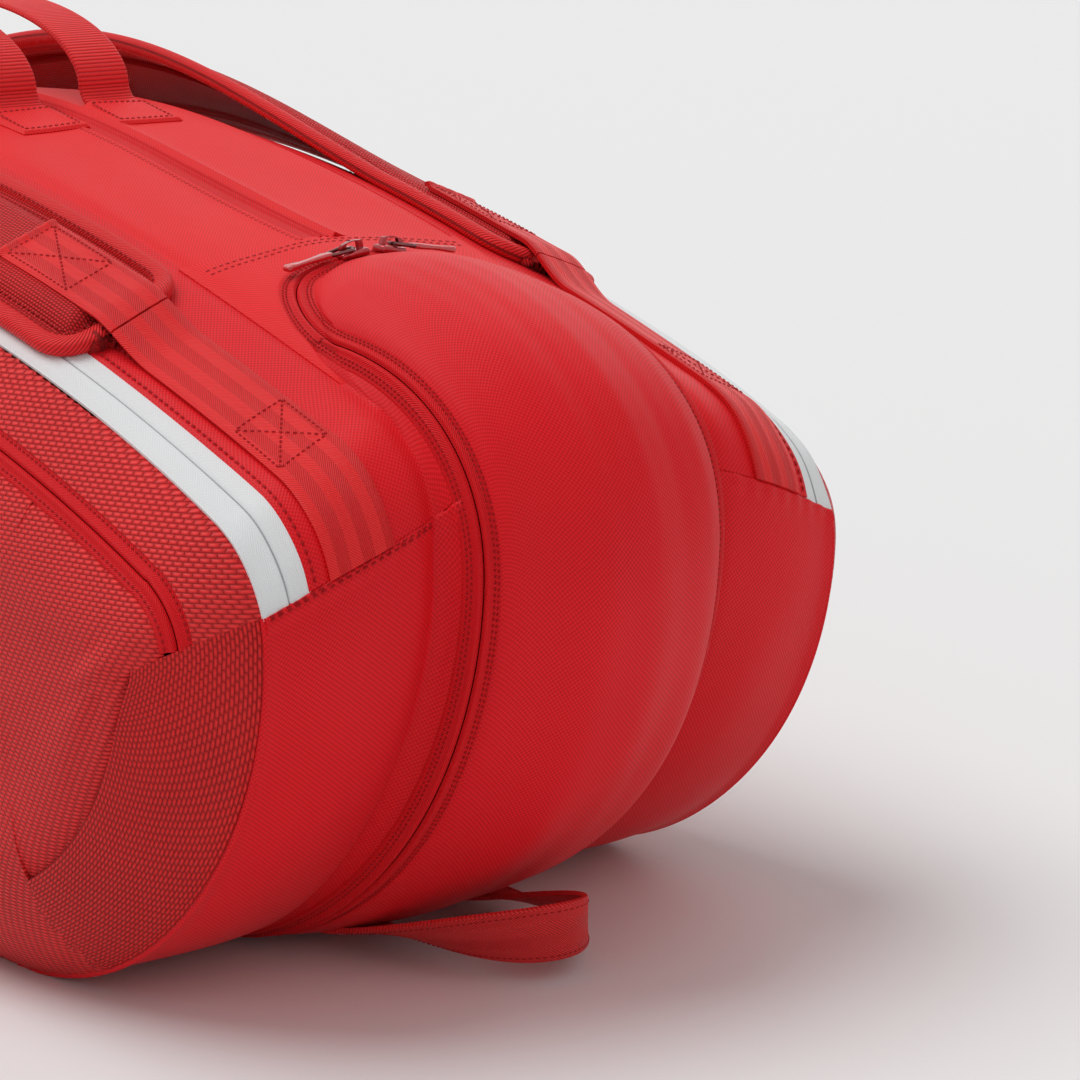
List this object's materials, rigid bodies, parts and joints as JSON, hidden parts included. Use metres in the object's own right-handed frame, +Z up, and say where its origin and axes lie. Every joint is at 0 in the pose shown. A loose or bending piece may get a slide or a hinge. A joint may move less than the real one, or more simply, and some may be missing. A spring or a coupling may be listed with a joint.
{
  "type": "racket bag",
  "caption": "Long three-compartment racket bag with a zipped end door, opening sides, side pockets, padded shoulder straps and grab handles.",
  "frame": {"origin": "middle of the bounding box at floor level", "axes": "+X along the bag towards the end door, +Y to the right-hand lobe seen from the rear, +Z up"},
  "size_m": [0.7899, 0.3408, 0.339],
  "materials": {
    "red_nylon": "fine plain weave with a soft sheen",
    "basket_weave": "coarse staggered basket weave",
    "webbing": "ribbed webbing",
    "pad_mesh": "spacer mesh",
    "red_zip_tape": "herringbone tape with coil",
    "white_zip_tape": "smooth coated tape",
    "lining": "coated lining",
    "slider_metal": "gloss enamel",
    "moulded_pull": "gloss moulded"
  },
  "bodies": {
    "carcass": {"bottom_panel": "red_nylon", "base_board": "lining", "left_divider": "lining", "right_divider": "lining", "left_top_panel": "red_nylon", "right_top_panel": "red_nylon", "left_near_end_panel": "red_nylon", "right_near_end_panel": "red_nylon", "left_far_end_panel": "red_nylon", "right_far_end_panel": "red_nylon", "centre_far_panel": "red_nylon", "centre_rear_top_panel": "red_nylon", "centre_front_top_panel": "red_nylon", "door_surround": "red_zip_tape", "door_foot": "red_nylon", "left_main_tape": "white_zip_tape", "right_main_tape": "white_zip_tape", "left_near_webbing": "webbing", "left_far_webbing": "webbing", "right_near_webbing": "webbing", "right_far_webbing": "webbing"},
    "end_door": {"end_door": "red_nylon", "door_tape": "red_zip_tape"},
    "grab_loop": {"end_grab_loop": "webbing"},
    "left_lid": {"left_side_panel": "lining", "left_side_strip": "basket_weave", "left_lid_tape": "white_zip_tape"},
    "right_lid": {"right_side_panel": "lining", "right_side_strip": "basket_weave", "right_lid_tape": "white_zip_tape"},
    "left_pocket": {"left_side_pocket": "basket_weave"},
    "right_pocket": {"right_side_pocket": "basket_weave"},
    "left_flap": {"left_top_flap": "red_nylon", "top_zip_coil": "red_zip_tape", "left_handle_roots": "webbing"},
    "right_flap": {"right_top_flap": "red_nylon", "right_handle_roots": "webbing"},
    "left_handle": {"left_grab_handle": "webbing"},
    "right_handle": {"right_grab_handle": "webbing"},
    "left_strap": {"left_shoulder_pad": "pad_mesh", "left_pad_webbing": "webbing"},
    "right_strap": {"right_shoulder_pad": "pad_mesh", "right_pad_webbing": "webbing"},
    "left_door_slider": {"left_door_slider": "slider_metal"},
    "left_door_pull": {"left_door_pull": "moulded_pull"},
    "right_door_slider": {"right_door_slider": "slider_metal"},
    "right_door_pull": {"right_door_pull": "moulded_pull"},
    "left_main_slider": {"left_main_slider": "slider_metal"},
    "left_main_pull": {"left_main_pull": "moulded_pull"},
    "right_main_slider": {"right_main_slider": "slider_metal"},
    "right_main_pull": {"right_main_pull": "moulded_pull"},
    "top_slider": {"top_slider": "slider_metal"},
    "top_pull": {"top_pull": "moulded_pull"},
    "left_pocket_slider": {"left_pocket_slider": "slider_metal"},
    "left_pocket_pull": {"left_pocket_pull": "moulded_pull"},
    "right_pocket_slider": {"right_pocket_slider": "slider_metal"},
    "right_pocket_pull": {"right_pocket_pull": "moulded_pull"}
  },
  "joints": [
    {"name": "door_fold", "type": "hinge", "parent": "carcass", "child": "end_door", "pos_m": [0.361, 0, 0.066], "axis": [0, 1, 0], "range_deg": [0, 70]},
    {"name": "loop_lift", "type": "hinge", "parent": "carcass", "child": "grab_loop", "pos_m": [0.27, 0, 0.0083], "axis": [0, -1, 0], "range_deg": [0, 4]},
    {"name": "left_lid_open", "type": "hinge", "parent": "carcass", "child": "left_lid", "pos_m": [0, -0.1364, 0.007], "axis": [1, 0, 0], "range_deg": [0, 18]},
    {"name": "left_pocket_open", "type": "hinge", "parent": "left_lid", "child": "left_pocket", "pos_m": [0, -0.1364, 0.007], "axis": [1, 0, 0], "range_deg": [0, 8]},
    {"name": "left_flap_open", "type": "hinge", "parent": "carcass", "child": "left_flap", "pos_m": [0, -0.062, 0.2956], "axis": [0.9985, 0, -0.0549], "range_deg": [0, 30]},
    {"name": "right_lid_open", "type": "hinge", "parent": "carcass", "child": "right_lid", "pos_m": [0, 0.1364, 0.007], "axis": [-1, 0, 0], "range_deg": [0, 18]},
    {"name": "right_pocket_open", "type": "hinge", "parent": "right_lid", "child": "right_pocket", "pos_m": [0, 0.1364, 0.007], "axis": [-1, 0, 0], "range_deg": [0, 8]},
    {"name": "right_flap_open", "type": "hinge", "parent": "carcass", "child": "right_flap", "pos_m": [0, 0.062, 0.2956], "axis": [-0.9985, 0, 0.0549], "range_deg": [0, 30]},
    {"name": "left_handle_swing", "type": "hinge", "parent": "left_flap", "child": "left_handle", "pos_m": [-0.034, -0.023, 0.30167], "axis": [1, 0, 0], "range_deg": [-8, 25]},
    {"name": "left_strap_slack", "type": "slide", "parent": "carcass", "child": "left_strap", "axis": [0, 0, 1], "range_m": [0, 0.03]},
    {"name": "right_handle_swing", "type": "hinge", "parent": "right_flap", "child": "right_handle", "pos_m": [-0.034, 0.023, 0.30167], "axis": [-1, 0, 0], "range_deg": [-8, 25]},
    {"name": "right_strap_slack", "type": "slide", "parent": "carcass", "child": "right_strap", "axis": [0, 0, 1], "range_m": [0, 0.015]},
    {"name": "left_door_zip", "type": "slide", "parent": "carcass", "child": "left_door_slider", "axis": [0, -0.9867, -0.1627], "range_m": [0, 0.028]},
    {"name": "left_door_pull_lift", "type": "hinge", "parent": "left_door_slider", "child": "left_door_pull", "pos_m": [0.25122, -0.0096, 0.26076], "axis": [-1, 0, 0], "range_deg": [0, 100]},
    {"name": "right_door_zip", "type": "slide", "parent": "carcass", "child": "right_door_slider", "axis": [0, 0.9867, -0.1627], "range_m": [0, 0.028]},
    {"name": "right_door_pull_lift", "type": "hinge", "parent": "right_door_slider", "child": "right_door_pull", "pos_m": [0.25122, 0.0096, 0.26076], "axis": [1, 0, 0], "range_deg": [0, 100]},
    {"name": "left_main_zip", "type": "slide", "parent": "carcass", "child": "left_main_slider", "axis": [0.9544, 0, 0.2985], "range_m": [0, 0.035]},
    {"name": "left_main_pull_lift", "type": "hinge", "parent": "left_main_slider", "child": "left_main_pull", "pos_m": [-0.2761, -0.128, 0.22584], "axis": [0, 1, 0], "range_deg": [0, 100]},
    {"name": "right_main_zip", "type": "slide", "parent": "carcass", "child": "right_main_slider", "axis": [0.9544, 0, 0.2985], "range_m": [0, 0.035]},
    {"name": "right_main_pull_lift", "type": "hinge", "parent": "right_main_slider", "child": "right_main_pull", "pos_m": [-0.2761, 0.128, 0.22584], "axis": [0, 1, 0], "range_deg": [0, 100]},
    {"name": "top_zip", "type": "slide", "parent": "carcass", "child": "top_slider", "axis": [-0.9748, 0, -0.2232], "range_m": [-0.02, 0]},
    {"name": "top_pull_lift", "type": "hinge", "parent": "top_slider", "child": "top_pull", "pos_m": [-0.15782, 0, 0.2832], "axis": [0, 1, 0], "range_deg": [0, 100]},
    {"name": "left_pocket_zip", "type": "slide", "parent": "left_pocket", "child": "left_pocket_slider", "axis": [1, 0, 0], "range_m": [-0.02, 0.02]},
    {"name": "left_pocket_pull_lift", "type": "hinge", "parent": "left_pocket_slider", "child": "left_pocket_pull", "pos_m": [0.04, -0.16141, 0.23885], "axis": [0, -0.6691, -0.7431], "range_deg": [0, 90]},
    {"name": "right_pocket_zip", "type": "slide", "parent": "right_pocket", "child": "right_pocket_slider", "axis": [1, 0, 0], "range_m": [-0.02, 0.02]},
    {"name": "right_pocket_pull_lift", "type": "hinge", "parent": "right_pocket_slider", "child": "right_pocket_pull", "pos_m": [0.04, 0.16141, 0.23885], "axis": [0, -0.6691, 0.7431], "range_deg": [0, 90]}
  ]
}
